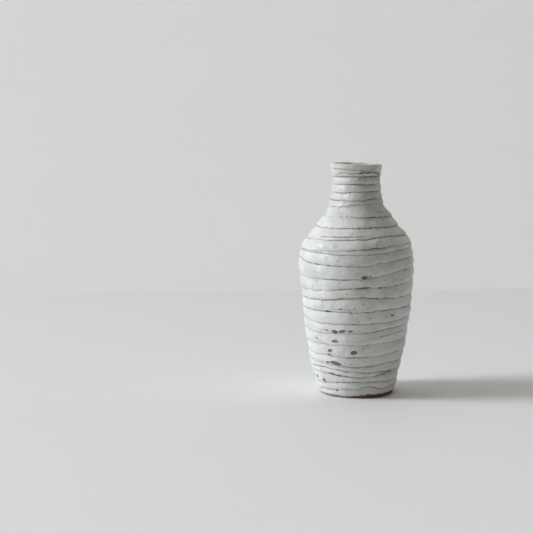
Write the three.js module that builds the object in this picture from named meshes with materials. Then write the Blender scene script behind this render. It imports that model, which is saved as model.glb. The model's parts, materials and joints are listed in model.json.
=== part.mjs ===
// A coil-built ceramic bud vase: a base slab with rings of rolled clay laid on it one by one.
// Units are millimetres. +Z is up, and the vase stands on z = 0 with its axis on the Z axis.
// Directions round the vase: the front faces -Y, the right side +X, the back +Y, the left -X.

import * as THREE from "three";

// Outline: radius over the coils at each turn of the form, and the height between the turns.
const footRadius = 24.4; // where the vase meets the table
const heelRadius = 26.7; // top edge of the base slab
const wallRadius = 33.8; // half way up the lower wall
const bellyRadius = 37.5; // widest coil
const shoulderRadius = 35.9; // where the wall turns in
const slopeRadius = 26.8; // half way up the sloping shoulder
const neckRadius = 17.9; // foot of the neck
const waistRadius = 15.6; // narrowest part of the neck
const rimRadius = 16.4; // outside of the lip

const slabThickness = 6.3; // foot to the top edge of the base slab
const wallHeight = 37.7; // slab to the middle of the lower wall
const bellyHeight = 42.7; // middle of the lower wall to the widest coil
const shoulderHeight = 10.8; // widest coil to the turn of the shoulder
const slopeHeight = 12.5; // turn of the shoulder to the middle of its slope
const neckFootHeight = 14.0; // middle of the slope to the foot of the neck
const waistHeight = 12.8; // foot of the neck to its narrowest part
const rimHeight = 13.0; // narrowest part of the neck to the top of the lip

// The clay.
const bodyWall = 5.5; // wall of the body
const neckWall = 3.6; // wall of the neck and the lip
const grooveDepth = 0.8; // how far the seam between two coils lies below their crowns
const crownFlat = 0.5; // part of a coil's height that its rounded crown takes up
const footBevel = 0.9; // worn edge under the base slab
const lipRound = 1.0; // rounding of the lip's two edges

const segments = 48; // straight steps round each coil

// The coils from the foot up. thick is a coil's height up the front of the vase. rise says how
// much higher or lower its top seam runs than at the front, in the directions of riseAngles.
// Each coil was rolled and pressed on by hand, so no two are alike and no seam is level.
const riseAngles = [45, 90, 180, 270, 315]; // front right, right, back, left, front left
const lowerCoils = [
  { name: "foot_coil_1", thick: 5.0, rise: [-0.7, -1.7, -1.2, -2.4, -1.9] },
  { name: "foot_coil_2", thick: 3.2, rise: [0.9, 1.1, 0.4, 1.4, 1.4] },
  { name: "foot_coil_3", thick: 3.3, rise: [0.0, -0.2, 0.6, 1.2, 2.1] },
  { name: "lower_wall_coil_1", thick: 3.6, rise: [1.8, 1.8, 1.2, 2.6, 1.2] },
  { name: "lower_wall_coil_2", thick: 6.2, rise: [1.8, 2.4, 1.0, 1.4, 0.7] },
  { name: "lower_wall_coil_3", thick: 8.3, rise: [1.3, 1.0, 0.4, 0.0, -0.3] },
  { name: "lower_wall_coil_4", thick: 7.7, rise: [2.6, 3.0, 1.8, 1.2, -0.8] },
  { name: "lower_wall_coil_5", thick: 6.2, rise: [0.8, 3.4, 2.2, 1.8, -0.4] },
  { name: "belly_coil_1", thick: 7.5, rise: [1.3, 1.2, 0.6, 0.5, 0.1] },
  { name: "belly_coil_2", thick: 9.6, rise: [-1.1, -0.3, -1.0, -2.3, -2.5] },
  { name: "belly_coil_3", thick: 6.0, rise: [0.7, 5.0, 1.0, -2.7, -2.6] },
  { name: "belly_coil_4", thick: 5.8, rise: [3.7, 5.9, 2.6, 0.3, -0.5] },
  { name: "belly_coil_5", thick: 8.0, rise: [3.3, 3.8, 2.4, 3.3, 0.8] },
];
const shoulderCoils = [
  { name: "shoulder_coil_1", thick: 6.9, rise: [2.1, 3.0, 1.6, 1.4, 1.2] },
  { name: "shoulder_coil_2", thick: 3.4, rise: [2.0, 2.8, 1.0, -1.1, -1.4] },
  { name: "shoulder_coil_3", thick: 6.1, rise: [1.7, 1.4, 0.6, -0.7, -0.3] },
  { name: "shoulder_coil_4", thick: 6.9, rise: [0.1, 0.7, -0.4, 0.2, -0.1] },
  { name: "shoulder_coil_5", thick: 6.5, rise: [0.0, -0.3, 0.5, 0.3, 0.3] },
  { name: "shoulder_coil_6", thick: 7.5, rise: [1.0, 0.8, 0.2, -1.2, -1.2] },
];
const neckCoils = [
  { name: "neck_coil_1", thick: 2.7, rise: [1.4, 0.9, 0.6, 0.3, 0.3] },
  { name: "neck_coil_2", thick: 5.5, rise: [0.4, 0.6, 0.3, -0.5, -0.5] },
  { name: "neck_coil_3", thick: 5.1, rise: [-0.4, 0.6, 0.5, -0.3, -0.2] },
  { name: "neck_coil_4", thick: 4.8, rise: [0.2, 0.0, -0.4, -0.3, 0.0] },
  { name: "rim_coil", thick: 7.7, rise: [-0.3, -0.6, 0.2, 0.6, 0.4] },
];
const slabRise = [-0.6, -0.9, 0.2, -1.8, -1.5]; // the top edge of the slab, in the same way

// Heights of the turns of the form, each standing on the one below it.
const middleOfWall = slabThickness + wallHeight;
const middleOfBelly = middleOfWall + bellyHeight;
const turnOfShoulder = middleOfBelly + shoulderHeight;
const middleOfSlope = turnOfShoulder + slopeHeight;
const footOfNeck = middleOfSlope + neckFootHeight;
const waistOfNeck = footOfNeck + waistHeight;
const topOfRim = waistOfNeck + rimHeight;

// A smooth curve through points of [place, value], as a function of the place. It is level
// where the values turn back and never overshoots them. The ends keep their own slope.
function smoothThrough(points) {
  const stretch = points.slice(1).map(([place, value], i) => {
    const [placeBefore, valueBefore] = points[i];
    return (value - valueBefore) / (place - placeBefore);
  });
  const slopes = points.map((point, i) => {
    if (i === 0) return stretch[0];
    if (i === points.length - 1) return stretch[i - 1];
    const before = stretch[i - 1];
    const after = stretch[i];
    return before * after <= 0 ? 0 : (2 * before * after) / (before + after);
  });
  return (place) => {
    const above = points.findIndex((point) => point[0] > place);
    const last = points.length - 2;
    const i = above < 0 ? last : Math.max(above - 1, 0);
    const [start, low] = points[i];
    const [end, high] = points[i + 1];
    const span = end - start;
    const t = THREE.MathUtils.clamp((place - start) / span, 0, 1);
    const t2 = t * t;
    const t3 = t2 * t;
    return (
      (2 * t3 - 3 * t2 + 1) * low +
      (t3 - 2 * t2 + t) * span * slopes[i] +
      (3 * t2 - 2 * t3) * high +
      (t3 - t2) * span * slopes[i + 1]
    );
  };
}

// Radius over the coils at a height.
const outerRadius = smoothThrough([
  [0, footRadius],
  [slabThickness, heelRadius],
  [middleOfWall, wallRadius],
  [middleOfBelly, bellyRadius],
  [turnOfShoulder, shoulderRadius],
  [middleOfSlope, slopeRadius],
  [footOfNeck, neckRadius],
  [waistOfNeck, waistRadius],
  [topOfRim, rimRadius],
]);

// Inside radius: the wall is measured square to the outline, so it reaches further in
// where the shoulder slopes, and it thins from the body to the neck.
function innerRadius(height) {
  const step = 0.5;
  const slope = (outerRadius(height + step) - outerRadius(height - step)) / (2 * step);
  const upShoulder = THREE.MathUtils.smoothstep(height, turnOfShoulder, footOfNeck);
  const wall = THREE.MathUtils.lerp(bodyWall, neckWall, upShoulder);
  return outerRadius(height) - grooveDepth / 2 - wall * Math.hypot(1, slope);
}

// A seam is the line between two coils: it gives the height at an angle from the front,
// turning towards the right. Its points run on past both ends of the turn, so it closes.
function makeSeam(front, rise) {
  const round = [[0, 0], ...riseAngles.map((angle, i) => [angle, rise[i]])];
  const [beforeFront] = round.slice(-1);
  const points = [
    [beforeFront[0] - 360, beforeFront[1]],
    ...round,
    [360, 0],
    [360 + riseAngles[0], rise[0]],
  ];
  const riseAt = smoothThrough(points);
  return (angle) => front + riseAt(THREE.MathUtils.radToDeg(angle));
}

// Lays one group of coils between two heights, pressed so that together they fill them.
function layCoils(coils, bottom, top) {
  const rolled = coils.reduce((sum, coil) => sum + coil.thick, 0);
  const pressed = (top - bottom) / rolled;
  let front = bottom;
  return coils.map((coil) => {
    front += coil.thick * pressed;
    return { name: coil.name, top: makeSeam(front, coil.rise) };
  });
}

// A point at an angle from the front, turning towards the right.
function pointAt(angle, radius, height) {
  return [radius * Math.sin(angle), -radius * Math.cos(angle), height];
}

// The points of a section at every angle: section(angle) lists one ring's points in order.
function makeRings(section) {
  const rings = [];
  for (let i = 0; i < segments; i++) {
    rings.push(section((2 * Math.PI * i) / segments));
  }
  return rings;
}

// Joins the rings into one mesh. A closed section joins its last point to its first. Every
// four-sided patch of a seam face is split along the same diagonal, outer edge here to inner
// edge there, so two coils that share a seam have exactly the same faces.
function meshFromRings(rings, closedSection, caps = []) {
  const perRing = rings[0].length;
  const positions = rings.flat(2);
  const index = [];
  const patches = closedSection ? perRing : perRing - 1;
  rings.forEach((ring, i) => {
    const next = (i + 1) % rings.length;
    for (let j = 0; j < patches; j++) {
      const k = (j + 1) % perRing;
      const here = [i * perRing + j, i * perRing + k];
      const there = [next * perRing + j, next * perRing + k];
      if (closedSection && k === 0) {
        index.push(here[0], there[0], here[1], here[1], there[0], there[1]);
      } else {
        index.push(here[0], there[0], there[1], here[0], there[1], here[1]);
      }
    }
  });
  for (const cap of caps) {
    const centre = positions.length / 3;
    positions.push(...cap.centre);
    rings.forEach((ring, i) => {
      const here = i * perRing + cap.ringPoint;
      const there = ((i + 1) % rings.length) * perRing + cap.ringPoint;
      if (cap.facesUp) index.push(centre, here, there);
      else index.push(centre, there, here);
    });
  }
  const geometry = new THREE.BufferGeometry();
  geometry.setAttribute("position", new THREE.Float32BufferAttribute(positions, 3));
  geometry.setIndex(index);
  geometry.computeVertexNormals();
  return geometry;
}

// Height and the two edges of a seam at an angle: the edges lie level with each other.
function seamAt(seam, angle) {
  const height = seam(angle);
  return {
    height,
    outer: outerRadius(height) - grooveDepth,
    inner: innerRadius(height),
  };
}

// A coil between two seams: grooved at both, with a rounded crown between them.
function coilGeometry(bottomSeam, topSeam) {
  const section = (angle) => {
    const low = seamAt(bottomSeam, angle);
    const high = seamAt(topSeam, angle);
    const thick = high.height - low.height;
    const crownLow = low.height + (thick * (1 - crownFlat)) / 2;
    const crownHigh = high.height - (thick * (1 - crownFlat)) / 2;
    return [
      pointAt(angle, low.outer, low.height),
      pointAt(angle, outerRadius(crownLow), crownLow),
      pointAt(angle, outerRadius(crownHigh), crownHigh),
      pointAt(angle, high.outer, high.height),
      pointAt(angle, high.inner, high.height),
      pointAt(angle, low.inner, low.height),
    ];
  };
  return meshFromRings(makeRings(section), true);
}

// The last coil: its top is the lip, rounded outside and inside.
function rimGeometry(bottomSeam, lipLine) {
  const section = (angle) => {
    const low = seamAt(bottomSeam, angle);
    const top = lipLine(angle);
    const crown = (low.height + top) / 2;
    const inside = innerRadius(top);
    return [
      pointAt(angle, low.outer, low.height),
      pointAt(angle, outerRadius(crown), crown),
      pointAt(angle, rimRadius, top - lipRound),
      pointAt(angle, rimRadius - lipRound, top),
      pointAt(angle, inside + lipRound, top),
      pointAt(angle, inside, top - lipRound),
      pointAt(angle, low.inner, low.height),
    ];
  };
  return meshFromRings(makeRings(section), true);
}

// The slab: flat underneath with a worn edge, and level inside the first coil.
function slabGeometry(topSeam) {
  const section = (angle) => {
    const high = seamAt(topSeam, angle);
    const crown = high.height / 2;
    return [
      pointAt(angle, footRadius - footBevel, 0),
      pointAt(angle, footRadius, footBevel),
      pointAt(angle, outerRadius(crown), crown),
      pointAt(angle, high.outer, high.height),
      pointAt(angle, high.inner, high.height),
    ];
  };
  const underside = { centre: [0, 0, 0], ringPoint: 0, facesUp: false };
  const floor = { centre: [0, 0, slabThickness], ringPoint: 4, facesUp: true };
  return meshFromRings(makeRings(section), false, [underside, floor]);
}

const bareClay = { color: 0x8f6045, roughness: 0.85 };
const whiteGlaze = { color: 0xdcdedb, roughness: 0.42 };

function addPiece(vase, name, geometry, finish) {
  const material = new THREE.MeshStandardMaterial({ ...finish, metalness: 0 });
  const mesh = new THREE.Mesh(geometry, material);
  mesh.name = name;
  vase.add(mesh);
}

function buildVase() {
  const vase = new THREE.Group();
  const slabSeam = makeSeam(slabThickness, slabRise);
  addPiece(vase, "base_slab", slabGeometry(slabSeam), bareClay);

  const courses = [
    ...layCoils(lowerCoils, slabThickness, middleOfBelly),
    ...layCoils(shoulderCoils, middleOfBelly, footOfNeck),
    ...layCoils(neckCoils, footOfNeck, topOfRim),
  ];
  const rim = courses.pop();
  let below = slabSeam;
  for (const course of courses) {
    addPiece(vase, course.name, coilGeometry(below, course.top), whiteGlaze);
    below = course.top;
  }
  addPiece(vase, rim.name, rimGeometry(below, rim.top), whiteGlaze);
  return vase;
}

export default buildVase();
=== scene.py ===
# %% [markdown]
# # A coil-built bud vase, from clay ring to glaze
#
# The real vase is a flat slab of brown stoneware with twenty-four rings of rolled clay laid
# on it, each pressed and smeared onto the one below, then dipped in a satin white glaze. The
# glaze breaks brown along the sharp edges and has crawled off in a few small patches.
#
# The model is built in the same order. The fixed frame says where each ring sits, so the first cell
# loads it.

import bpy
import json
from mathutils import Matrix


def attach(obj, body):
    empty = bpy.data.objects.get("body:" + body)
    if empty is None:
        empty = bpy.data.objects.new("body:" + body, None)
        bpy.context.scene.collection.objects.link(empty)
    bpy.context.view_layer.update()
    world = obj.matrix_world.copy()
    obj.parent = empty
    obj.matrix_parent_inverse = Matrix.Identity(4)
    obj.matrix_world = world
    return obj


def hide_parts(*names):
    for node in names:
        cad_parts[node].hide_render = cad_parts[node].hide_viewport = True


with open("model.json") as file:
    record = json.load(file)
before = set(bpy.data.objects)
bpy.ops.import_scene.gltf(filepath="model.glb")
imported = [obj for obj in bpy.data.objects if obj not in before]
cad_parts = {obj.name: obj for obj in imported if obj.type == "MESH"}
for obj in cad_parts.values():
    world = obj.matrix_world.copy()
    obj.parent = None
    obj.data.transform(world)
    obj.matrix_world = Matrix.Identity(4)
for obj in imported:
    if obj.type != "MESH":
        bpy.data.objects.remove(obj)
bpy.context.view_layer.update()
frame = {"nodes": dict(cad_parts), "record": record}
print("the frame holds", len(frame["nodes"]), "pieces")

# %% The lesson's tools
import json
import math

import bpy
import numpy as np
from mathutils import Matrix

MM = 0.001  # the frame is in metres, and clay is easier to think of in millimetres
print("Blender", bpy.app.version_string)

# %% [markdown]
# ## The camera
#
# The vase is seen from a little above the table, as someone sitting in front of it would
# see it, a good arm's length away and right of the middle of the view. A long lens keeps
# the coils nearly level. The camera comes first, so that every later step can be looked at.

# %% Place the camera
EYE = (0.0, -0.844, 0.1794)  # metres from the foot of the vase
LENS = 87.3  # millimetres, on a sensor 36 mm wide
LOOK_DOWN = 6.51  # degrees below level
LOOK_LEFT = 4.0  # degrees to the left of the vase
ROLL = -0.5  # degrees, which stands the vase upright in the view


def place_camera():
    lens = bpy.data.cameras.new("camera")
    lens.lens = LENS
    lens.sensor_width = 36
    camera = bpy.data.objects.new("camera", lens)
    bpy.context.scene.collection.objects.link(camera)
    aim = Matrix.Rotation(math.radians(LOOK_LEFT), 4, "Z")
    tip = Matrix.Rotation(math.radians(90 - LOOK_DOWN), 4, "X")
    roll = Matrix.Rotation(math.radians(ROLL), 4, "Z")
    camera.matrix_world = Matrix.Translation(EYE) @ aim @ tip @ roll
    bpy.context.scene.camera = camera


place_camera()
print("camera", EYE, "lens", LENS)

# %% [markdown]
# ## A pale table, a pale wall and a window
#
# The vase stands on a white-painted table in front of a white wall, in the light of one
# window to its left. In Blender a window is an area light: the larger it is, the softer the
# shadow. Here a small one makes the shadow's core, and a large one round it, the bright sky,
# its soft edge. The ceiling throws some of that light back from above, a little warmer, and
# the rest of the room is the world's colour. The lamps stand far away, so that the wall is
# lit evenly, and are hidden from the camera, so that they never show in a side view.

# %% Choose the lamps
ROOM_LIGHT = (0.132, 0.122, 0.10)
WINDOW = {  # degrees from the front towards the left and above level, metres, watts
    "round": 86,
    "up": 27,
    "away": 8.0,
    "size": 2.4,
    "power": 478,
    "colour": (0.89, 0.925, 1.0),
}
SKY = {**WINDOW, "round": 98, "size": 8.4, "power": 490}
CEILING = {
    "round": 90,
    "up": 76,
    "away": 2.6,
    "size": 2.6,
    "power": 8,
    "colour": (1.0, 0.96, 0.87),
}
print("watts:", WINDOW["power"] + SKY["power"] + CEILING["power"])

# %% Set the stage
WALL_BEHIND = 0.508  # metres from the vase to the wall
STAGE_SIZE = 8.0  # metres
TABLE_WHITE = (0.83, 0.83, 0.83)
WALL_WHITE = (0.88, 0.88, 0.875)
WALL_GLOW = 0.26  # light that the wall gets from the room in front of it
PAINT_GLOSS = 0.25
LAMP_AIM = 0.075  # metres, half way up the vase


def plain_paint(name, colour, roughness, glow=0.0):
    paint = bpy.data.materials.new(name)
    paint.use_nodes = True
    shader = paint.node_tree.nodes["Principled BSDF"]
    shader.inputs["Base Color"].default_value = (*colour, 1)
    shader.inputs["Roughness"].default_value = roughness
    shader.inputs["Specular IOR Level"].default_value = PAINT_GLOSS
    shader.inputs["Emission Color"].default_value = (*colour, 1)
    shader.inputs["Emission Strength"].default_value = glow
    return paint


def lay_sheet(name, paint, turn=None):
    """A large flat sheet, on the ground unless it is turned."""
    bpy.ops.object.select_all(action="DESELECT")
    bpy.ops.mesh.primitive_plane_add(size=STAGE_SIZE, location=(0, 0, 0))
    sheet = bpy.context.object
    sheet.name = name
    if turn is not None:
        sheet.data.transform(turn)
    sheet.data.materials.append(paint)


def hang_lamp(name, lamp):
    """An area light that shines at the middle of the vase from a direction."""
    light = bpy.data.lights.new(name, "AREA")
    light.size = lamp["size"]
    light.energy = lamp["power"]
    light.color = lamp["colour"]
    holder = bpy.data.objects.new(name, light)
    bpy.context.scene.collection.objects.link(holder)
    spin = Matrix.Rotation(-math.radians(lamp["round"]), 4, "Z")
    tilt = Matrix.Rotation(math.radians(90 - lamp["up"]), 4, "X")
    away = Matrix.Translation((0, 0, lamp["away"]))
    holder.matrix_world = Matrix.Translation((0, 0, LAMP_AIM)) @ spin @ tilt @ away
    holder.visible_camera = False
    print(name, "at", [round(v, 2) for v in holder.matrix_world.translation])


lay_sheet("table", plain_paint("table paint", TABLE_WHITE, 0.65))
stand_up = Matrix.Rotation(math.radians(90), 4, "X")
face_camera = Matrix.Rotation(math.radians(LOOK_LEFT), 4, "Z")
step_back = Matrix.Translation((0, WALL_BEHIND, 0))
wall_turn = step_back @ face_camera @ stand_up
lay_sheet("wall", plain_paint("wall paint", WALL_WHITE, 0.9, WALL_GLOW), wall_turn)
hang_lamp("window", WINDOW)
hang_lamp("sky", SKY)
hang_lamp("ceiling", CEILING)
room = bpy.data.worlds.new("room")
room.use_nodes = True
room.node_tree.nodes["Background"].inputs["Color"].default_value = (*ROOM_LIGHT, 1)
bpy.context.scene.world = room
bpy.context.scene.view_settings.view_transform = "Standard"

# %% [markdown]
# ## Reading the coils from the frame
#
# The frame's solids are plain: they say where each seam between two coils runs and how wide
# the vase is at each height. This cell reads both back from their points, so that the fine
# coils follow the frame by themselves. A direction is counted in degrees from the front
# towards the right, and every curve round the vase is a row of values, one a direction.

# %% Measure the seams and the outline
STEPS = 512  # directions round the vase
TALLEST = 152  # mm, just over the height of the vase
DIRECTION = np.arange(STEPS) * 360.0 / STEPS
COILS = [part["node"] for part in frame["record"]["subparts"]]
SLAB, RIM = COILS[0], COILS[-1]


def polar(points):
    """Direction, radius and height of points given as rows of x, y and z."""
    direction = np.degrees(np.arctan2(points[:, 0], -points[:, 1])) % 360
    return direction, np.hypot(points[:, 0], points[:, 1]), points[:, 2]


def mesh_points(mesh):
    points = np.empty(len(mesh.vertices) * 3)
    mesh.vertices.foreach_get("co", points)
    return points.reshape(-1, 3) / MM


def closed_curve(samples):
    """A smooth closed curve through evenly spaced samples, one value a direction."""
    waves = np.zeros(STEPS // 2 + 1, complex)
    found = np.fft.rfft(samples)[:-1]
    waves[: len(found)] = found
    return np.fft.irfft(waves, STEPS) * STEPS / len(samples)


def read_frame():
    """Top seam of each coil, and samples of the outside and the inside of the wall."""
    tops, outside, inside = {}, [], []
    for name in COILS:
        direction, radius, height = polar(mesh_points(frame["nodes"][name].data))
        off_axis = radius > 1
        direction, radius, height = direction[off_axis], radius[off_axis], height[off_axis]
        facets = len(np.unique(direction.round(1) % 360))
        facet = np.round(direction / 360 * facets).astype(int) % facets
        top = []
        for k in range(facets):
            z, r = height[facet == k], radius[facet == k]
            top.append(z.max())
            if name != RIM:
                inside.append((z.max(), r[z > z.max() - 0.01].min()))
            between = (z > z.min() + 0.3) & (z < z.max() - 0.3)
            for level in np.unique(z[between].round(2)):
                outside.append((level, r[between & (abs(z - level) < 0.02)].max()))
        tops[name] = closed_curve(np.array(top))
    return tops, np.array(outside), np.array(inside)


def smooth_profile(samples, reach):
    """Radius at any height: a straight line fitted to the samples within about reach of it."""
    levels = np.arange(0, TALLEST, 0.25)
    height, radius = samples[:, 0], samples[:, 1]
    pull = np.exp(-0.5 * ((levels[:, None] - height) / reach) ** 2)
    pull /= pull.sum(1, keepdims=True)
    middle, mean = pull @ height, pull @ radius
    off = height - middle[:, None]
    slope = (pull * off * radius).sum(1) / (pull * off**2).sum(1)
    fitted = mean + slope * (levels - middle)
    return lambda height: np.interp(height, levels, fitted)


TOPS, outside_samples, inside_samples = read_frame()
outline = smooth_profile(outside_samples, 1.7)
inner_wall = smooth_profile(inside_samples, 2.5)
print("seams", len(TOPS), "belly", round(float(outline(86)), 1), "mm")

# %% [markdown]
# ## The unevenness of a hand
#
# Nothing on the vase is level or round. A hand presses in slow waves, a tool in quick
# ones, and both close on themselves after a turn. Such a wave is a sum of sines with whole
# numbers of swings and random strengths. The dice are seeded, so each run gives the same
# vase.

# %% Waves and curves round the vase
dice = np.random.default_rng(24)


def wave(first, last):
    """A closed random wave with first to last swings a turn and a usual height of 1."""
    swings = np.zeros(STEPS // 2 + 1, complex)
    count = last + 1 - first
    swings[first : last + 1] = dice.normal(size=count) + 1j * dice.normal(size=count)
    curve = np.fft.irfft(swings, STEPS)
    return curve / curve.std()


def soften(curve, width):
    """Blurs a closed curve over about width degrees."""
    swings = np.fft.rfft(curve)
    fade = np.exp(-0.5 * (np.arange(len(swings)) * math.radians(width)) ** 2)
    return np.fft.irfft(swings * fade, STEPS)


def through(marks, width=6):
    """A closed curve through a few marks of (degrees, value), rounded over width degrees."""
    degrees, values = zip(*marks)
    return soften(np.interp(DIRECTION, degrees, values, period=360), width)


def at(curve, direction):
    """Values of a closed curve at any directions."""
    return np.interp(direction, DIRECTION, curve, period=360)


def ease(low, high, value):
    """Rises smoothly from 0 at low to 1 at high."""
    t = np.clip((value - low) / (high - low), 0, 1)
    return t * t * (3 - 2 * t)


print("a slow wave stays within", round(float(abs(wave(2, 6)).max()), 1))

# %% [markdown]
# ## How each seam was finished
#
# Some seams were left as a crisp overhanging edge, which the fire turned brown. Others were
# smeared over with a finger and show only as a faint grey line. Five numbers say how crisp
# each seam is from the front left to the front right: 0 is smeared away and 1 is sharp. The
# back takes what is between, and quick waves break every line up. On the right side the
# grooves are deepest, and on the sloping shoulder the coils lie there like steps.

# %% Crispness of the seams
CRISP_AT = (300, 330, 0, 30, 60)  # degrees
CRISP = {
    "base_slab": (0.1, 0.15, 0.35, 0.95, 0.3),
    "foot_coil_1": (0.05, 0.55, 0.75, 0.35, 0.3),
    "foot_coil_2": (0.15, 0.6, 0.5, 0.45, 0.35),
    "foot_coil_3": (0.75, 0.4, 0.45, 0.6, 0.4),
    "lower_wall_coil_1": (0.5, 0.15, 0.45, 0.65, 0.5),
    "lower_wall_coil_2": (0.4, 0.2, 0.65, 0.3, 0.75),
    "lower_wall_coil_3": (0.2, 0.2, 0.3, 0.3, 0.35),
    "lower_wall_coil_4": (0.3, 0.2, 0.35, 0.75, 0.75),
    "lower_wall_coil_5": (0.25, 0.35, 0.5, 0.3, 0.4),
    "belly_coil_1": (0.85, 0.75, 0.2, 0.75, 0.9),
    "belly_coil_2": (0.85, 0.75, 0.85, 1.0, 0.5),
    "belly_coil_3": (0.2, 0.5, 0.8, 0.65, 0.0),
    "belly_coil_4": (0.2, 0.4, 0.5, 0.55, 0.85),
    "belly_coil_5": (0.65, 1.0, 0.6, 0.45, 0.85),
    "shoulder_coil_1": (0.1, 0.1, 0.3, 0.4, 0.6),
    "shoulder_coil_2": (0.25, 0.15, 0.7, 0.45, 0.0),
    "shoulder_coil_3": (0.2, 0.3, 0.9, 0.75, 0.6),
    "shoulder_coil_4": (0.65, 0.5, 0.85, 0.95, 0.7),
    "shoulder_coil_5": (0.0, 0.1, 0.45, 0.9, 0.5),
    "shoulder_coil_6": (0.3, 0.35, 0.2, 0.1, 0.2),
    "neck_coil_1": (0.85, 0.35, 0.2, 0.65, 0.55),
    "neck_coil_2": (0.45, 0.5, 0.7, 0.6, 0.5),
    "neck_coil_3": (0.4, 0.5, 1.0, 0.75, 0.5),
    "neck_coil_4": (0.55, 1.0, 1.0, 0.95, 1.0),
}
STEP_UP = [  # degrees and mm: how the lowest seam jumps up where the slab was patched
    (6, 0), (10, 1.9), (17, 2.0), (27, 1.2), (37, -0.1), (48, 0.5), (65, 1.2), (90, 0),
]
SMOOTHED = {  # seams smoothed on the left and in front, and what is left of their grooves
    "shoulder_coil_3": 0.8,
    "shoulder_coil_4": 0.6,
    "shoulder_coil_5": 0.3,
    "shoulder_coil_6": 0.35,
}
WALL_RIGHT = (1.4, 0.8)  # shares of the groove, and of its heel above, on the right side
SLOPE_RIGHT = (1.9, 0.3)  # the same where the coils lie like steps
GROOVE = 0.5  # mm, the shallowest usual groove
CRISP_GROOVE = 0.25  # mm deeper where a seam is crisp


def make_seam(name):
    """The seam on top of a coil: its height, its crispness and how deep its groove is."""
    marks = list(zip(CRISP_AT, CRISP[name]))
    crisp = through([*marks, (180, sum(CRISP[name]) / 5)], 5)
    crisp = np.clip(crisp + 0.07 * wave(3, 9), 0, 1)
    height = TOPS[name] + 0.12 * wave(7, 24) + 0.05 * wave(40, 150)
    if name == SLAB:
        height += through(STEP_UP, 1.2)
    line = np.clip(crisp + 0.2 * wave(14, 60) + 0.14 * wave(60, 200), 0, 1.3)
    left = SMOOTHED.get(name, 1)
    right, heel_right = SLOPE_RIGHT if name in SMOOTHED else WALL_RIGHT
    finish = through([(270, left), (30, left), (60, right), (120, 1.3), (180, 1)], 8)
    groove = finish * (GROOVE + CRISP_GROOVE * ease(0, 0.9, crisp) + 0.1 * wave(2, 7))
    heel = through([(270, 1), (30, 1), (60, heel_right), (120, heel_right), (180, 1)], 8)
    heel = heel * (1 - 0.6 * crisp)
    return {"height": height, "crisp": crisp, "line": line, "groove": groove, "heel": heel}


SEAMS = {name: make_seam(name) for name in CRISP}
print("seams made:", len(SEAMS))

# %% [markdown]
# ## Fold lines inside the coils
#
# A few coils were folded or doubled as they were pressed on, which leaves short lines that
# start and end inside a coil. Each is a strength and a few marks of (degrees, share), where
# the share counts from the coil's lower seam, 0, to its upper seam, 1. In that way the
# lines stay on their coils whatever the frame's sizes are.

# %% Place the fold lines
FOLDS = [
    ("rim_coil", 0.6, [(-67, 0.63), (-34, 0.62), (9, 0.56), (26, 0.48)]),
    ("rim_coil", 0.45, [(-52, 0.57), (-22, 0.56), (10, 0.49), (24, 0.43)]),
    ("rim_coil", 0.9, [(29, 0.52), (42, 0.66), (54, 0.84)]),
    ("rim_coil", 0.7, [(-55, 0.1), (-40, 0.3), (-28, 0.32), (-9, 0.22), (4, 0.32)]),
    ("rim_coil", 1.6, [(2, 0.29), (22, 0.38), (42, 0.36), (57, 0.26), (68, 0.06)]),
    ("shoulder_coil_6", 0.7, [(37, 0.43), (46, 0.31), (57, 0.33)]),
    ("shoulder_coil_4", 0.95, [(-48, 0.2), (-40, 0.27), (-12, 0.24), (2, 0.28), (10, 0.24)]),
    ("shoulder_coil_4", 0.4, [(-86, 0.25), (-72, -0.1), (-66, 0.2), (-58, 0.3)]),
    ("belly_coil_5", 0.2, [(-61, 0.47), (-39, 0.43), (-13, 0.28)]),
    ("belly_coil_2", 0.35, [(-28, 0.2), (-17, 0.21), (-7, 0.16), (6, 0.16), (15, 0.34), (22, 0.58)]),
    ("belly_coil_2", 0.25, [(20, 0.5), (34, 0.66), (46, 0.72)]),
    ("lower_wall_coil_5", 0.3, [(-44, 0.36), (-4, 0.24), (12, 0.12)]),
    ("lower_wall_coil_4", 0.35, [(-8, 0.3), (5, 0.36), (13, 0.46), (26, 0.5)]),
    ("lower_wall_coil_4", 0.8, [(24, 0.5), (35, 0.52), (46, 0.59), (68, 0.61)]),
    ("lower_wall_coil_3", 0.25, [(19, 0.28), (33, 0.43), (48, 0.57)]),
    ("foot_coil_3", 1.2, [(24, 0.02), (31, 0.16), (38, 0.42), (46, 0.58), (54, 0.7)]),
    ("belly_coil_3", 0.25, [(118, 0.3), (150, 0.5), (171, 0.45)]),
    ("shoulder_coil_3", 0.5, [(176, 0.3), (205, 0.2), (236, 0.28)]),
    ("lower_wall_coil_2", 0.4, [(140, 0.55), (168, 0.4), (190, 0.52)]),
    ("belly_coil_5", 0.4, [(212, 0.35), (240, 0.5), (262, 0.42)]),
]


def seam_below(name):
    place = COILS.index(name)
    return SEAMS[COILS[place - 1]]["height"] if place else np.zeros(STEPS)


def seam_above(name):
    return TOPS[RIM] if name == RIM else SEAMS[name]["height"]


def on_coil(name, share):
    """Height of a share of a coil, in every direction."""
    low, high = seam_below(name), seam_above(name)
    return low + share * (high - low)


def make_fold(name, strength, marks):
    degrees, shares = zip(*marks)
    middle = (degrees[0] + degrees[-1]) / 2
    turn = (DIRECTION - middle + 180) % 360 - 180 + middle
    share = soften(np.interp(turn, degrees, shares), 1.5)
    ends = ease(degrees[0] - 3, degrees[0] + 5, turn) * ease(degrees[-1] + 3, degrees[-1] - 5, turn)
    height = on_coil(name, share) + 0.08 * wave(40, 120)
    break_up = np.clip(0.85 + 0.25 * wave(20, 90), 0, 1)
    return {"height": height, "strength": strength * ends * break_up}


FOLD_LINES = [make_fold(*fold) for fold in FOLDS]
print("fold lines:", len(FOLD_LINES))

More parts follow.
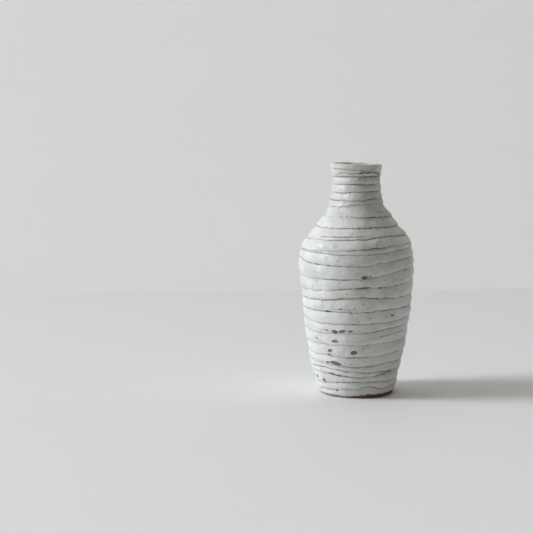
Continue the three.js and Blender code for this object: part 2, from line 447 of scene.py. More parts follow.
# %% [markdown]
# ## Bare patches
#
# Where dust or grease lay on the clay, the glaze crawled back in the fire and left small
# lens-shaped windows of brown clay, a little sunk below the glaze. Each is placed on its
# coil by direction and share, with its length, its height and a tilt. The iron specks that
# show most are placed in the same way, as tiny patches of random size.

# %% Place the bare patches
PATCHES = [  # coil, degrees, share, length mm, height mm, tilt in degrees
    ("belly_coil_5", 8, 0.15, 4.2, 1.9, 4),
    ("belly_coil_5", 13.5, 0.13, 1.6, 0.8, 0),
    ("belly_coil_4", 9, 0.06, 5.6, 0.9, 2),
    ("belly_coil_3", 24, 0.99, 2.2, 1.0, 0),
    ("belly_coil_2", -17, 0.23, 1.9, 0.8, 0),
    ("belly_coil_2", -32, 0.04, 4.4, 0.9, -2),
    ("belly_coil_1", 40, 0.52, 2.6, 1.0, -14),
    ("lower_wall_coil_5", -34, 0.34, 2.0, 0.8, -14),
    ("lower_wall_coil_5", -24, 0.18, 4.4, 2.4, -4),
    ("lower_wall_coil_5", -15.5, 0.31, 4.4, 2.0, 12),
    ("lower_wall_coil_5", -6, 0.26, 2.8, 1.2, 0),
    ("lower_wall_coil_4", -50, 0.48, 2.2, 0.7, -22),
    ("lower_wall_coil_4", -24, 0.35, 4.9, 1.6, 0),
    ("lower_wall_coil_3", -31.5, 0.5, 3.3, 1.9, 10),
    ("lower_wall_coil_3", -33, 0.1, 3.2, 1.0, -14),
    ("lower_wall_coil_3", -2.5, 0.43, 4.4, 2.5, 6),
    ("lower_wall_coil_2", -36, 0.26, 3.2, 1.1, 0),
    ("lower_wall_coil_2", -25, 0.28, 7.4, 2.6, -10),
    ("foot_coil_3", -32, 0.1, 4.0, 1.4, -12),
    ("foot_coil_3", -22, 0.12, 3.6, 1.0, -6),
    ("foot_coil_2", -76, 0.4, 3.0, 2.6, -40),
    ("foot_coil_2", -63, 0.5, 2.0, 1.9, -45),
    ("foot_coil_2", -48, 0.25, 3.0, 2.3, -40),
    ("base_slab", -28, 0.92, 1.5, 1.2, 20),
    ("belly_coil_1", 152, 0.4, 5.0, 2.0, 6),
    ("lower_wall_coil_4", 168, 0.3, 3.6, 1.6, -6),
    ("lower_wall_coil_3", 214, 0.55, 4.6, 1.8, 0),
    ("foot_coil_3", 196, 0.4, 3.0, 1.2, 8),
    ("shoulder_coil_1", 228, 0.15, 4.0, 1.2, -5),
    ("belly_coil_3", 262, 0.5, 2.6, 1.3, 0),
]


def make_patch(name, degrees, share, length, height, tilt):
    middle = float(at(on_coil(name, share), degrees))
    half = (length / 2, height / 2)
    return {"degrees": degrees, "middle": middle, "half": half, "tilt": math.radians(tilt)}


BARE = [make_patch(*patch) for patch in PATCHES]
print("bare patches:", len(BARE))

# %% Place the iron specks and measure from them
OUT_OF_REACH = 9.0  # mm, stored where a distance means nothing
SPECKS = [  # coil, degrees, share: iron specks that show more than the fine ones
    ("rim_coil", -52, 0.9), ("shoulder_coil_3", 42, 0.62), ("shoulder_coil_3", 22, 0.3),
    ("shoulder_coil_2", 13, 0.06), ("shoulder_coil_1", -31, 0.67), ("shoulder_coil_1", -10, 0.76),
    ("shoulder_coil_1", -6, 0.78), ("shoulder_coil_1", 32, 0.88), ("shoulder_coil_1", -18, 0.49),
    ("belly_coil_4", -43, 0.83), ("belly_coil_4", 5, 0.87), ("belly_coil_4", 29, 0.58),
    ("belly_coil_3", -9, 0.47), ("belly_coil_2", -53, 0.26), ("belly_coil_2", -38, 0.88),
    ("belly_coil_2", -2, 0.27), ("belly_coil_1", -6, 0.91), ("belly_coil_1", 3, 0.19),
    ("belly_coil_1", 28, 0.92), ("belly_coil_1", 15, 0.49), ("lower_wall_coil_5", 16, 0.34),
    ("lower_wall_coil_5", 39, 0.62), ("lower_wall_coil_4", -9, 0.35), ("lower_wall_coil_4", 52, 0.37),
    ("lower_wall_coil_3", 8, 0.76), ("lower_wall_coil_2", -6, 0.3), ("lower_wall_coil_1", 61, 0.82),
    ("foot_coil_3", 17, 0.74), ("belly_coil_2", 140, 0.5), ("belly_coil_4", 205, 0.4),
    ("lower_wall_coil_3", 178, 0.3), ("shoulder_coil_2", 160, 0.5), ("belly_coil_5", 245, 0.6),
]


IRON_SPECKS = [make_patch(*speck, *dice.uniform(0.6, 0.95, 2), 0) for speck in SPECKS]


def distance_to_patch(direction, height, patches):
    """Distance from points to the edge of the nearest patch in mm, negative inside it."""
    nearest = np.full(np.shape(height), OUT_OF_REACH)
    for patch in patches:
        along = (direction - patch["degrees"] + 180) % 360 - 180
        along = np.radians(along) * outline(patch["middle"])
        up = height - patch["middle"]
        cos, sin = math.cos(patch["tilt"]), math.sin(patch["tilt"])
        long = abs(along * cos + up * sin) / patch["half"][0]
        short = abs(up * cos - along * sin) / patch["half"][1]
        lens = (long**1.5 + short**1.7) ** 0.62
        nearest = np.minimum(nearest, (lens - 1) * patch["half"][1])
    return nearest


print("specks:", len(IRON_SPECKS))

# %% [markdown]
# ## Pressing a coil
#
# Seen cut through, a pressed coil is a soft shingle. Its crown lies low, its top leans in
# under the next coil, and its lower edge stays sharp and hangs a little over the coil
# below. The same few lines of sums shape all of them: they take the height inside the coil
# and give how far the clay lies below the outline.

# %% Shape of the skin
CROWN = 0.36  # where a coil is thickest, as a share of its height
LIP_SIZE = 0.32  # mm up the coil that the rounding of its sharp lower edge reaches
EDGE_DROP = 0.18  # mm that the lower edge of a crisp coil is rounded off
LAST_FOLD = 0.16  # mm that the upper edge is tucked in where the seam above is crisp
FOLD_REACH = 0.5  # mm down the coil from that edge
OFF_CENTRE = [  # mm up and mm towards the right
    (0, 0), (20, -0.4), (45, 0), (62, 0.5), (78, 0),
    (94, -0.35), (103, 0.55), (118, 0.5), (130, 0.1), (150, 0),
]
PRESSES = [  # coil, degrees, share, width mm, height mm, push outwards in mm
    ("shoulder_coil_3", -36, 0.55, 12, 5, 0.55),
    ("shoulder_coil_4", -64, 0.25, 7, 4, -0.5),
    ("shoulder_coil_2", -45, 0.6, 14, 3, -0.35),
    ("shoulder_coil_5", -30, 0.5, 10, 5, 0.35),
    ("shoulder_coil_6", 8, 0.4, 9, 5, 0.4),
    ("shoulder_coil_6", 30, 0.9, 9, 3, -0.4),
    ("shoulder_coil_5", 24, 0.7, 4, 3, -0.45),
    ("shoulder_coil_4", 30, 0.6, 10, 4, -0.35),
    ("belly_coil_5", 55, 0.6, 9, 5, -0.4),
    ("belly_coil_3", 62, 0.5, 10, 5, 0.5),
    ("lower_wall_coil_5", 66, 0.5, 8, 4, 0.4),
    ("lower_wall_coil_1", 44, 0.2, 7, 3, 0.45),
    ("rim_coil", -90, 0.85, 34, 9, 0.6),
    ("rim_coil", 90, 0.85, 34, 9, 0.3),
    ("neck_coil_4", 90, 0.5, 34, 9, 0.35),
]
for number in (3, 4, 5, 6):  # at the right, the coils of the slope lie like steps
    PRESSES.append((f"shoulder_coil_{number}", 80, 0.12, 45, 5, 0.55))
    PRESSES.append((f"shoulder_coil_{number}", 80, 0.72, 45, 5, -0.5))


def lean(height):
    """How far the vase stands off its axis towards the right at a height, in mm."""
    levels, shifts = zip(*OFF_CENTRE)
    return np.interp(height, levels, shifts)


def press_marks(direction, height):
    """Soft finger bulges and dents of the shoulder and the right side, in mm outwards."""
    push = np.zeros(np.shape(height))
    for name, degrees, share, width, tall, strength in PRESSES:
        middle = float(at(on_coil(name, share), degrees))
        along = np.radians((direction - degrees + 180) % 360 - 180) * outline(middle)
        reach = (along / width * 2) ** 2 + ((height - middle) / tall * 2) ** 2
        push += strength * np.exp(-reach)
    return push


def press(low_seam, high_seam, share, direction):
    """Depth of the skin below the outline at shares of a coil's height, in mm."""
    thick = at(high_seam["height"] - low_seam["height"], direction)
    above, below = share * thick, (1 - share) * thick
    crisp = at(low_seam["crisp"], direction)
    tuck = np.clip((share - CROWN) / (1 - CROWN), 0, 1) ** 2.1
    heel = np.clip((CROWN - share) / CROWN, 0, 1) ** 2
    edge = EDGE_DROP * crisp * np.clip(1 - above / LIP_SIZE, 0, 1) ** 2
    near_top = np.clip(1 - below / FOLD_REACH, 0, 1) ** 2
    last_fold = LAST_FOLD * at(high_seam["crisp"], direction) * near_top
    upper = tuck * at(high_seam["groove"], direction) + last_fold
    lower = heel * at(low_seam["groove"] * low_seam["heel"], direction)
    return upper + lower + edge


print("crown at", CROWN, "of a coil's height")

# %% [markdown]
# ## Lines and patches in the skin
#
# A fold line is a narrow groove with a small step above it, and a bare patch is a shallow
# hollow. Both are pressed into the same skin. The glaze needs the distance to the nearest
# line as well, so that its brown edge runs exactly along the groove.

# %% Press the lines and patches in
PATCH_DEPTH = 0.22  # mm
FOLD_DEPTH = 0.32  # mm
FOLD_WIDTH = 0.32  # mm, half the width of the groove
STEP_HIGH = 0.2  # mm that the clay stands out above a fold
STEP_PLACE = 0.75  # mm from the groove up to the step
STEP_WIDTH = 0.6  # mm, half the height of the step
FAINTEST = 0.02  # strength under which a fold line has ended
HANG = 0.1  # mm that a crisp coil hangs over the one below
HANG_REACH = 0.6  # mm up the coil


def fold_depth(direction, height):
    """Grooves of the fold lines with the small step above each, in mm."""
    depth = np.zeros(np.shape(height))
    for fold in FOLD_LINES:
        strength = at(fold["strength"], direction)
        up = height - at(fold["height"], direction)
        groove = np.exp(-((up / FOLD_WIDTH) ** 2)) * FOLD_DEPTH
        step = np.exp(-(((up - STEP_PLACE) / STEP_WIDTH) ** 2)) * STEP_HIGH
        depth += strength * (groove - step)
    return depth


def distance_to_fold(direction, height):
    """Distance to the nearest fold line in mm, and how strong that line is."""
    nearest = np.full(np.shape(height), OUT_OF_REACH)
    strength = np.zeros(np.shape(height))
    for fold in FOLD_LINES:
        here = at(fold["strength"], direction)
        gap = abs(height - at(fold["height"], direction))
        gap = np.where(here > FAINTEST, gap, OUT_OF_REACH)
        closer = gap < nearest
        nearest = np.where(closer, gap, nearest)
        strength = np.where(closer, here, strength)
    return nearest, strength


def skin_at(low_seam, high_seam, push, share, direction):
    """Radius and height of the skin of a coil at points, sunk in its bare patches."""
    low, high = at(low_seam["height"], direction), at(high_seam["height"], direction)
    height = low + share * (high - low)
    depth = press(low_seam, high_seam, share, direction) - at(push, direction)
    depth = depth + fold_depth(direction, height)
    depth = depth + PATCH_DEPTH * ease(0.15, -0.35, distance_to_patch(direction, height, BARE))
    depth = depth - press_marks(direction, height)
    near_edge = np.clip(1 - share * (high - low) / HANG_REACH, 0, 1)
    hang = HANG * near_edge * at(low_seam["crisp"], direction)
    return outline(height) - depth, height - hang


def skin(low_seam, high_seam, push, share):
    """The same in every direction, at one share of the coil's height."""
    return skin_at(low_seam, high_seam, push, share, DIRECTION)


print("fold lines pressed in:", len(FOLD_LINES))

# %% [markdown]
# ## The section of a coil
#
# Each coil starts as what it was, a ring of rolled clay: a torus at its size and place. A
# simple subdivision gives it enough points, and then every point of its round section is
# pressed to a station of the real section: up the skin, back along the upper joint, down
# the inside wall and out again along the lower joint. The stations lie closest together at
# the seams, where the sharp edges are. Because a point of a torus has two angles, they say
# which station of which ring it is.

# %% Stations round a section
GRAIN = 0.21  # usual distance between two stations on the skin, in mm
CREASE = 0.35  # how far the joint starts behind the bottom of a groove, in mm
SKIN, JOINT, INSIDE = 1, 0, -1  # what a station lies on


def skin_stations(thick):
    """Shares of the skin from the lower edge to the upper one, closest at both ends."""
    count = int(thick / GRAIN) + 12
    even = np.linspace(0, 1, count)
    return 0.55 * even + 0.45 * (1 - np.cos(math.pi * even)) / 2


def inside_radius(height):
    """The finger-smoothed inside wall, with slow ripples."""
    return inner_wall(height) + 0.25 * np.sin(height * 0.83 + 1.1 * np.sin(np.radians(DIRECTION)))


def joint_radius(seam):
    """Where a joint starts: a little behind the bottom of the groove."""
    return outline(seam["height"]) - seam["groove"] - CREASE


def joint(seam, outwards):
    """Two stations on a joint face, from the inside wall outwards or the other way."""
    front, height = joint_radius(seam), seam["height"]
    middle = (front + inside_radius(height)) / 2
    stations = [(middle, height, JOINT), (front, height, JOINT)]
    return stations if outwards else stations[::-1]


def coil_section(low_seam, high_seam, push):
    """Stations round a coil's section, each a radius and a height in every direction."""
    low, high = low_seam["height"], high_seam["height"]
    shares = skin_stations(float((high - low).mean()))
    start = int(len(shares) * 0.4)
    columns = [(*skin(low_seam, high_seam, push, share), SKIN) for share in shares[start:]]
    columns += joint(high_seam, outwards=False)
    for share in np.linspace(1, 0, 9):
        height = low + share * (high - low)
        columns.append((inside_radius(height), height, INSIDE))
    columns += joint(low_seam, outwards=True)
    columns += [(*skin(low_seam, high_seam, push, share), SKIN) for share in shares[:start]]
    return columns


print("stations on a coil 8 mm thick:", len(skin_stations(8)))

# %% [markdown]
# ## The section of the rim
#
# The last coil has no joint above it. Its skin runs over the lip, which is thin, rounded
# and a little higher on the left, and down the inside of the neck.

# %% Stations round the rim
LIP_WALL = 2.7  # mm
LIP_ROUND = 1.0  # mm
LIP_RISE = 0.4  # mm that the lip stands above the frame's plain one
LIP = {
    "height": TOPS[RIM] + LIP_RISE + 0.1 * wave(3, 9) + 0.04 * wave(12, 50),
    "crisp": np.zeros(STEPS),
    "line": np.zeros(STEPS),
    "groove": np.zeros(STEPS),
}


def rim_section(low_seam, push):
    low, lip = low_seam["height"], LIP["height"]
    full = 1 - LIP_ROUND / float((lip - low).mean())
    shares = skin_stations(float((lip - low).mean())) * full
    start = int(len(shares) * 0.4)
    columns = [(*skin(low_seam, LIP, push, share), SKIN) for share in shares[start:]]
    outer, shoulder = columns[-1][:2]
    half = (LIP_WALL + 0.25 * wave(2, 7)) / 2
    for angle in np.linspace(0, math.pi, 17)[1:]:
        rise = (lip - shoulder) * math.sin(angle) ** 0.8
        columns.append((outer - half + half * math.cos(angle), shoulder + rise, INSIDE))
    edge = columns[-1][0]
    for share in np.linspace(1, 0, 13)[1:]:
        height = low + share * (shoulder - low)
        blend = ease(0.35, 1, share)
        columns.append((blend * edge + (1 - blend) * inside_radius(height), height, INSIDE))
    columns += joint(low_seam, outwards=True)
    columns += [(*skin(low_seam, LIP, push, share), SKIN) for share in shares[:start]]
    return columns


print("the lip is", LIP_WALL, "mm thick")

# %% [markdown]
# ## From ring to coil
#
# The ring is added with an even number of segments and subdivided once. Its points are then
# moved to their stations, and each gets the distances that the glaze needs later: to the
# seam, to the nearest fold line and to the nearest bare patch. They are stored as
# attributes, which follow the surface and survive every modifier.

# %% Roll a ring
def roll_ring(name, radius, height, thick, stations):
    """A subdivided torus of STEPS rings with the given number of stations each."""
    bpy.ops.object.select_all(action="DESELECT")
    bpy.ops.mesh.primitive_torus_add(
        major_segments=STEPS // 2,
        minor_segments=stations // 2,
        major_radius=radius * MM,
        minor_radius=thick / 2 * MM,
        location=(0, 0, height * MM),
        generate_uvs=False,
    )
    ring = bpy.context.object
    ring.name = name
    bpy.ops.object.transform_apply(location=True, rotation=True, scale=True)
    divide = ring.modifiers.new("more points", "SUBSURF")
    divide.subdivision_type = "SIMPLE"
    divide.levels = divide.render_levels = 1
    bpy.ops.object.modifier_apply(modifier=divide.name)
    return ring


def stations_of(ring, radius, height, stations):
    """Which ring and which station each point of a subdivided torus belongs to."""
    direction, reach, up = polar(mesh_points(ring.data))
    around = np.round(direction / 360 * STEPS).astype(int) % STEPS
    angle = np.arctan2(up - height, reach - radius)
    return around, np.round(angle / (2 * math.pi) * stations).astype(int) % stations


print("a ring is rolled in", STEPS // 2, "segments and then subdivided")

# %% Press a ring
def move_points(mesh, direction, radius, height):
    """Sends each point to its direction, radius and height, on the slightly leaning axis."""
    turn = np.radians(direction)
    x, y = radius * np.sin(turn) + lean(height), -radius * np.cos(turn)
    mesh.vertices.foreach_set("co", (np.stack([x, y, height], 1) * MM).ravel())
    mesh.update()


def store(mesh, name, values):
    attribute = mesh.attributes.new(name, "FLOAT", "POINT")
    attribute.data.foreach_set("value", np.ascontiguousarray(values, np.float32))


def mark_surface(mesh, direction, height, seen, low_seam, high_seam):
    """Stores the distances to seam, fold line and bare patch at each point that is seen."""
    above = abs(height - at(low_seam["height"], direction))
    below = abs(at(high_seam["height"], direction) - height)
    from_low, from_high = at(low_seam["line"], direction), at(high_seam["line"], direction)
    to_fold, fold = distance_to_fold(direction, height)
    patch = distance_to_patch(direction, height, BARE)
    speck = distance_to_patch(direction, height, IRON_SPECKS)
    store(mesh, "seam_mm", np.where(seen, np.minimum(above, below), OUT_OF_REACH))
    store(mesh, "seam_line", np.where(above < below, from_low, from_high))
    store(mesh, "fold_mm", np.where(seen, to_fold, OUT_OF_REACH))
    store(mesh, "fold_line", fold)
    store(mesh, "patch_mm", np.where(seen, patch, OUT_OF_REACH))
    store(mesh, "speck_mm", np.where(seen, speck, OUT_OF_REACH))


def press_ring(name, section, low_seam, high_seam):
    """Makes a coil: rolls its ring and presses every point to its station."""
    if len(section) % 2:
        section = [*section, section[-1]]
    stations = len(section)
    low, high = low_seam["height"], high_seam["height"]
    height, thick = float((low + high).mean() / 2), float((high - low).mean())
    radius = float(outline(height)) - thick / 2
    ring = roll_ring(name, radius, height, thick, stations)
    around, station = stations_of(ring, radius, height, stations)
    radii = np.stack([column[0] for column in section], 1)
    heights = np.stack([column[1] for column in section], 1)
    kind = np.array([column[2] for column in section])[station]
    direction = DIRECTION[around]
    radius, height = radii[around, station], heights[around, station]
    move_points(ring.data, direction, radius, height)
    mark_surface(ring.data, direction, height, kind != INSIDE, low_seam, high_seam)
    return ring, np.flatnonzero(kind == SKIN)


print("a distance of", OUT_OF_REACH, "mm means that nothing is near")

# %% [markdown]
# ## Finger marks
#
# Fingers leave dents as wide as a fingertip, and the glaze lies over them in softer, smaller
# lumps. Two Displace modifiers with cloud textures do that. They only move the skin, so the
# joints stay closed, and because every coil sits in the same frame, a dent runs on from one
# coil to the next. A cloud texture has a faint grain along its axes, which would stand
# upright on the vase, so the modifiers read it through an empty object that is tilted.

# %% Dent the skin
DENTS = (("finger dents", 0.012, 0.0012), ("glaze lumps", 0.0042, 0.00048))
DENT_TILT = Matrix.Rotation(math.radians(50), 4, (1, 0.7, 0.4))
tilted = bpy.data.objects.new("tilt of the dents", None)
bpy.context.scene.collection.objects.link(tilted)
tilted.matrix_world = DENT_TILT
bpy.context.view_layer.update()


def cloud(name, size):
    texture = bpy.data.textures.new(name, "CLOUDS")
    texture.noise_scale = size
    texture.noise_depth = 1
    texture.noise_basis = "IMPROVED_PERLIN"
    return texture


CLOUDS = [(name, cloud(name, size), strength) for name, size, strength in DENTS]


def dent(piece, skin_points):
    group = piece.vertex_groups.new(name="skin")
    group.add(skin_points.tolist(), 1.0, "REPLACE")
    bpy.context.view_layer.objects.active = piece
    for name, texture, strength in CLOUDS:
        push = piece.modifiers.new(name, "DISPLACE")
        push.texture = texture
        push.texture_coords = "OBJECT"
        push.texture_coords_object = tilted
        push.strength = strength
        push.mid_level = 0.5
        push.vertex_group = group.name
        bpy.ops.object.modifier_apply(modifier=push.name)
    piece.vertex_groups.clear()
    bpy.ops.object.select_all(action="DESELECT")
    piece.select_set(True)
    bpy.ops.object.shade_smooth()


print("dents of", [round(size / MM, 1) for _, size, _ in DENTS], "mm")

# %% [markdown]
# ## Writing shader sums as sums
#
# A material's nodes are easier to read as an expression. This small class wraps a socket,
# so that `1 - mask` adds a Math node by itself. Everything else comes from one method,
# which takes a node's type, its settings and what goes into its sockets.

# %% A socket that can be calculated with
class Wire:
    """The output of a node, ready for a sum."""

    def __init__(self, paper, socket):
        self.paper = paper
        self.socket = socket

    def sum(self, operation, *others):
        values = {i: value for i, value in enumerate((self, *others))}
        return self.paper.node("ShaderNodeMath", {"operation": operation}, values)

    def __add__(self, other):
        return self.sum("ADD", other)

    def __radd__(self, other):
        return self.sum("ADD", other)

    def __sub__(self, other):
        return self.sum("SUBTRACT", other)

    def __rsub__(self, other):
        return self.paper.node("ShaderNodeMath", {"operation": "SUBTRACT"}, {0: other, 1: self})

    def __mul__(self, other):
        return self.sum("MULTIPLY", other)

    def __rmul__(self, other):
        return self.sum("MULTIPLY", other)

    def clamp(self):
        return self.paper.node("ShaderNodeClamp", {}, {"Value": self})


print("a wire can be added, subtracted, multiplied and clamped")

# %% A material to draw nodes on
class Paper:
    """A material to draw nodes on."""

    def __init__(self, name):
        self.material = bpy.data.materials.new(name)
        self.material.use_nodes = True
        self.tree = self.material.node_tree
        self.shader = self.tree.nodes["Principled BSDF"]

    def connect(self, node, sockets):
        for key, value in sockets.items():
            socket = node.inputs[key]
            if isinstance(value, Wire):
                self.tree.links.new(value.socket, socket)
            else:
                socket.default_value = value

    def node(self, kind, settings, sockets, output=0):
        made = self.tree.nodes.new(kind)
        for key, value in settings.items():
            setattr(made, key, value)
        self.connect(made, sockets)
        return Wire(self, made.outputs[output])

    def attribute(self, name):
        settings = {"attribute_name": name, "attribute_type": "GEOMETRY"}
        return self.node("ShaderNodeAttribute", settings, {}, "Fac")

    def millimetres(self):
        """Object coordinates in millimetres."""
        place = self.node("ShaderNodeTexCoord", {}, {}, "Object")
        scale = {"operation": "SCALE"}
        return self.node("ShaderNodeVectorMath", scale, {0: place, "Scale": 1 / MM})

    def noise(self, place, size, detail=2.0, roughness=0.5):
        """Soft random values between 0 and 1, with spots of about a size in mm."""
        sockets = {"Vector": place, "Scale": 1 / size, "Detail": detail, "Roughness": roughness}
        return self.node("ShaderNodeTexNoise", {}, sockets, "Fac")

    def ramp(self, value, start, end, low=0.0, high=1.0):
        """Goes smoothly from low to high as the value goes from start to end."""
        settings = {"interpolation_type": "SMOOTHSTEP"}
        sockets = {"Value": value, "From Min": start, "From Max": end, "To Min": low, "To Max": high}
        return self.node("ShaderNodeMapRange", settings, sockets)

    def mix(self, factor, first, second):
        """Mixes two colours, each a wire or three numbers."""
        colours = [c if isinstance(c, Wire) else (*c, 1.0) for c in (first, second)]
        sockets = {0: factor, 6: colours[0], 7: colours[1]}
        return self.node("ShaderNodeMix", {"data_type": "RGBA"}, sockets, 2)

    def larger(self, first, second):
        return self.node("ShaderNodeMath", {"operation": "MAXIMUM"}, {0: first, 1: second})


print("patterns are measured in mm")

# %% [markdown]
# ## The glaze
#
# The glaze is a satin white, slightly cool where it lies thick and greyer where it is thin.
# Its colour is also painted whiter low down and on the shoulder and greyer on the neck, as painted light
# and painted shade.
# It is thin wherever the clay below is sharp, so the iron of the clay shows through as a
# brown line along each crisp seam. Tiny iron specks and pinholes are scattered over it, and
# a fine grain keeps it from looking like plastic. The distances stored on the coils place
# the lines and patches, and a little noise on each distance makes their edges ragged. The
# stronger a line is, the wider it gets.

# %% Choose the colours
GLAZE_THICK = (0.715, 0.728, 0.708)
GLAZE_THIN = (0.58, 0.59, 0.555)
GRAIN_GREY = (0.42, 0.42, 0.40)
# The next colour is the painted shade of the seam creases.
SEAM_CREASE_SHADE = (0.52, 0.52, 0.48)
EDGE_BROWN = (0.30, 0.18, 0.105)
EDGE_GREY = (0.42, 0.375, 0.31)
CLAY = (0.25, 0.135, 0.088)
CLAY_WARM = (0.31, 0.185, 0.13)
CLAY_DARK = (0.105, 0.064, 0.044)
CLAY_PALE = (0.40, 0.29, 0.21)
IRON = (0.10, 0.085, 0.075)
HEIGHT_PAINTED_SHADE = (  # two heights in mm, and how much greyer the glaze is painted at each of them: painted light and shade by height
    (45, 80, -0.4, 0.0),
    (86, 100, 0.0, -0.25),
    (110, 124, 0.0, 0.75),
)


def clay_colour(paper, place):
    grain = paper.noise(place, 0.35, 4, 0.7)
    drift = paper.noise(place, 2.5, 2)
    warm = paper.mix(paper.ramp(drift, 0.35, 0.65), CLAY, CLAY_WARM)
    return paper.mix(paper.ramp(grain, 0.5, 0.72), warm, CLAY_DARK)


def glaze_colour(paper, place):
    """The plain glaze, by how thick it lies, with painted light and shade by height."""
    height = paper.node("ShaderNodeSeparateXYZ", {}, {"Vector": place}, "Z")
    thin = paper.ramp(paper.noise(place, 11.0, 3), 0.32, 0.68) * 0.9
    # Painted light and shade by height: whiter low down and on the shoulder, greyer on the neck.
    for painted_band in HEIGHT_PAINTED_SHADE:
        thin = thin + paper.ramp(height, *painted_band)
    return paper.mix(thin.clamp(), GLAZE_THICK, GLAZE_THIN)


print("colours chosen, from", GLAZE_THICK, "to", CLAY_DARK)

# %% Mix the glaze
BUMP = 0.22 * MM  # height of the finest relief
GLAZE_GLOSS = 0.45


def glaze_layers(paper, place):
    """Colour of the glaze with its lines and specks, how bare it is, and its height in mm."""
    ragged = paper.noise(place, 0.9, 3, 0.6)
    grain = paper.noise(place, 0.4, 4, 0.75)
    seam_line = paper.attribute("seam_line")
    seam = paper.attribute("seam_mm") + (ragged - 0.5) * 0.48 - paper.ramp(seam_line, 0.85, 1.3, 0, 0.25)
    fold_line = paper.attribute("fold_line")
    fold = paper.attribute("fold_mm") + (ragged - 0.5) * 0.45 - paper.ramp(fold_line, 0.8, 1.4, 0, 0.4)
    patch = paper.attribute("patch_mm") + (paper.noise(place, 1.1, 3, 0.65) - 0.5) * 0.9

    colour = glaze_colour(paper, place)
    colour = paper.mix(paper.ramp(grain, 0.54, 0.76) * 0.34, colour, GRAIN_GREY)
    # Painted shade along the seam creases: the glaze is greyed within about a millimetre of each seam,
    # most where the seam is smeared.
    near = paper.ramp(seam, 1.2, 0.1) * paper.ramp(seam_line, 0.1, 0.6, 0.55, 0.25)
    colour = paper.mix(near, colour, SEAM_CREASE_SHADE)

    grey = (paper.ramp(seam, 0.4, 0.1) * paper.ramp(seam_line, 0.0, 0.45, 0.0, 0.55)).clamp()
    brown = paper.ramp(seam, 0.36, 0.08) * paper.ramp(seam_line, 0.35, 0.8)
    fold_grey = paper.ramp(fold, 0.42, 0.1) * paper.ramp(fold_line, 0.0, 0.4, 0.0, 0.75)
    fold_brown = paper.ramp(fold, 0.36, 0.08) * paper.ramp(fold_line, 0.35, 0.8)
    colour = paper.mix(grey, colour, EDGE_GREY)
    colour = paper.mix(fold_grey, colour, EDGE_GREY)
    lines = paper.larger(brown, fold_brown)
    colour = paper.mix(lines, colour, EDGE_BROWN)

    cell = {"Vector": place, "Scale": 0.2, "Randomness": 1.0}
    spot = paper.node("ShaderNodeTexVoronoi", {}, cell, "Distance")
    lot = paper.node("ShaderNodeTexVoronoi", {}, cell, "Color")
    size = paper.ramp(lot, 0.58, 0.85, -0.02, 0.075)
    speck = paper.ramp(spot - size, 0.03, -0.015)
    placed = paper.ramp(paper.attribute("speck_mm") + (ragged - 0.5) * 0.3, 0.2, -0.1)
    speck = paper.larger(speck, placed)
    colour = paper.mix(speck * 0.85, colour, IRON)

    # Painted shade round each bare patch: a dark ring on the glaze at its edge and a darker rim just
    # inside, where the glaze steps down to the sunk clay.
    edge = paper.ramp(patch, 0.24, 0.0)
    bare = paper.ramp(patch, 0.02, -0.16)
    rim = paper.ramp(patch, -0.5, -0.05)
    clay = paper.mix(rim * 0.6, clay_colour(paper, place), CLAY_DARK)
    colour = paper.mix(edge * 0.8, colour, CLAY_DARK)
    colour = paper.mix(bare, colour, clay)
    lumps = paper.noise(place, 1.6, 3, 0.55)
    relief = lumps * 0.5 + grain * 0.18 - speck * 0.35 - bare * 0.3 - lines * 0.25
    return colour, bare, lines, relief


def finish_surface(paper, colour, rough, relief):
    """Connects colour, roughness and relief to the shader."""
    bump = paper.node("ShaderNodeBump", {}, {"Strength": 1.0, "Distance": BUMP, "Height": relief})
    paper.connect(paper.shader, {"Base Color": colour, "Roughness": rough, "Normal": bump})
    paper.shader.inputs["Specular IOR Level"].default_value = GLAZE_GLOSS
    return paper.material


def white_glaze():
    paper = Paper("satin white glaze")
    place = paper.millimetres()
    colour, bare, lines, relief = glaze_layers(paper, place)
    satin = paper.ramp(paper.noise(place, 5.0, 2), 0.3, 0.7, 0.42, 0.53)
    rough = paper.larger(paper.larger(satin, bare * 0.85), lines * 0.7)
    return finish_surface(paper, colour, rough, relief)


GLAZE = white_glaze()
print("glaze nodes:", len(GLAZE.node_tree.nodes))

# %% [markdown]
# ## The foot
#
# The bottom of the slab was wiped clean before firing, or the glaze would have stuck to the
# shelf of the kiln. Below the ragged lower edge of the glaze the clay is bare. The edge's
# height above the table is stored on the slab like the other distances.

# %% Mix the finish of the slab
GLAZE_EDGE = [  # degrees round the foot and mm above the table
    (290, 1.2), (313, 1.5), (331, 1.4), (347, 1.4), (0, 2.0), (9, 2.5), (24, 2.7),
    (41, 2.6), (60, 2.5), (75, 2.0), (110, 1.6), (180, 2.4), (245, 1.4),
]
# How dark the bare clay of the foot is round the vase: palest at the left, darkest from the front round
# to the right.
FOOT_DARKENING = [(290, 0.1), (325, 0.25), (0, 0.75), (30, 1.0), (90, 1.0), (180, 0.5), (250, 0.2)]
glaze_edge = through(GLAZE_EDGE, 3) + 0.12 * wave(12, 40) + 0.06 * wave(40, 120)


